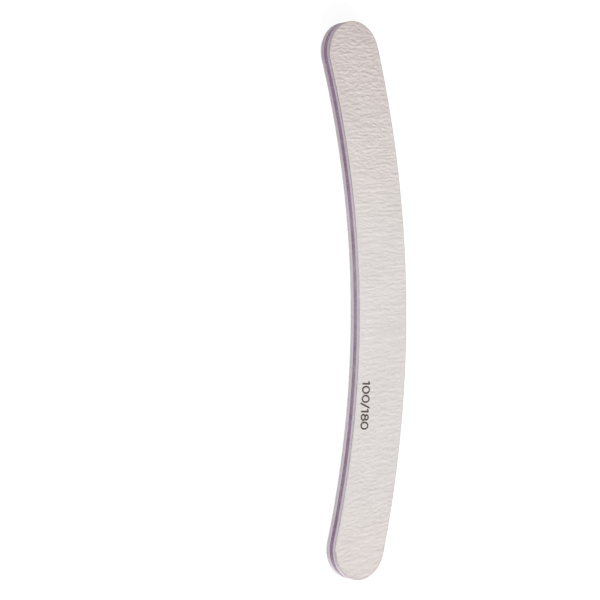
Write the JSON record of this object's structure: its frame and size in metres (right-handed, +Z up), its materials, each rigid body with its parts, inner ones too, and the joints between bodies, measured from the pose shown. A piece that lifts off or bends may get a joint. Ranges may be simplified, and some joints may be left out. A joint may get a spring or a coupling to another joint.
{
  "type": "nail file",
  "caption": "Curved double-sided nail file: abrasive paper and foam laminated on both faces of a stiff plastic core, with round ends.",
  "frame": {"origin": "middle of the bounding box, on the underside (plain side) that the file lies on", "axes": "+Y along the file's length, +X towards its convex edge, +Z up through the layers to the printed side"},
  "size_m": [0.0312, 0.178, 0.0048],
  "materials": {
    "coarse_grit": "pale grey crinkled abrasive paper, matt and gritty",
    "fine_grit": "pale warm grey crinkled abrasive paper, matt, finer grit",
    "backing_paper": "grey cut paper edge, matt",
    "adhesive_film": "thin clear adhesive film",
    "cushion_foam": "pale lilac closed-cell foam, matt cut edge",
    "core_plastic": "purple plastic board, satin cut edge"
  },
  "bodies": {
    "root": {"coarse_grit_coat": "coarse_grit", "coarse_paper_backing": "backing_paper", "coarse_outer_adhesive": "adhesive_film", "coarse_foam_layer": "cushion_foam", "coarse_inner_adhesive": "adhesive_film", "core_board": "core_plastic", "fine_inner_adhesive": "adhesive_film", "fine_foam_layer": "cushion_foam", "fine_outer_adhesive": "adhesive_film", "fine_paper_backing": "backing_paper", "fine_grit_coat": "fine_grit"}
  },
  "joints": []
}
